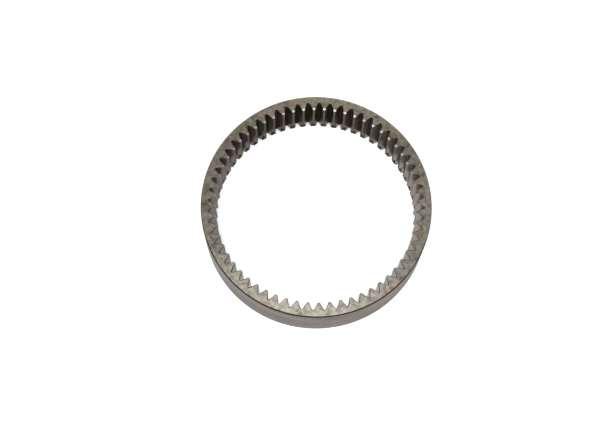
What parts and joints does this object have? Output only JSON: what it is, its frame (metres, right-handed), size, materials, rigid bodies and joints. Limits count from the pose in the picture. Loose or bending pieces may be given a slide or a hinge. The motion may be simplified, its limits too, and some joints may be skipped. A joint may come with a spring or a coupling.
{
  "type": "internal ring gear",
  "caption": "Plain steel ring with straight gear teeth on its inside, bevelled tooth tips at one face and a turned-back seat at the other: the ring gear of a planetary reduction.",
  "frame": {"origin": "centre of the lower face, on the ring's axis", "axes": "+Z along the ring's axis, from the face with the seat to the face with the bevelled tooth tips; +X through the middle of a tooth"},
  "size_m": [0.233, 0.233, 0.0565],
  "materials": {
    "steel": "turned and ground steel with an oily brown tint, darker between the teeth"
  },
  "bodies": {
    "root": {"ring_gear": "steel"}
  },
  "joints": []
}
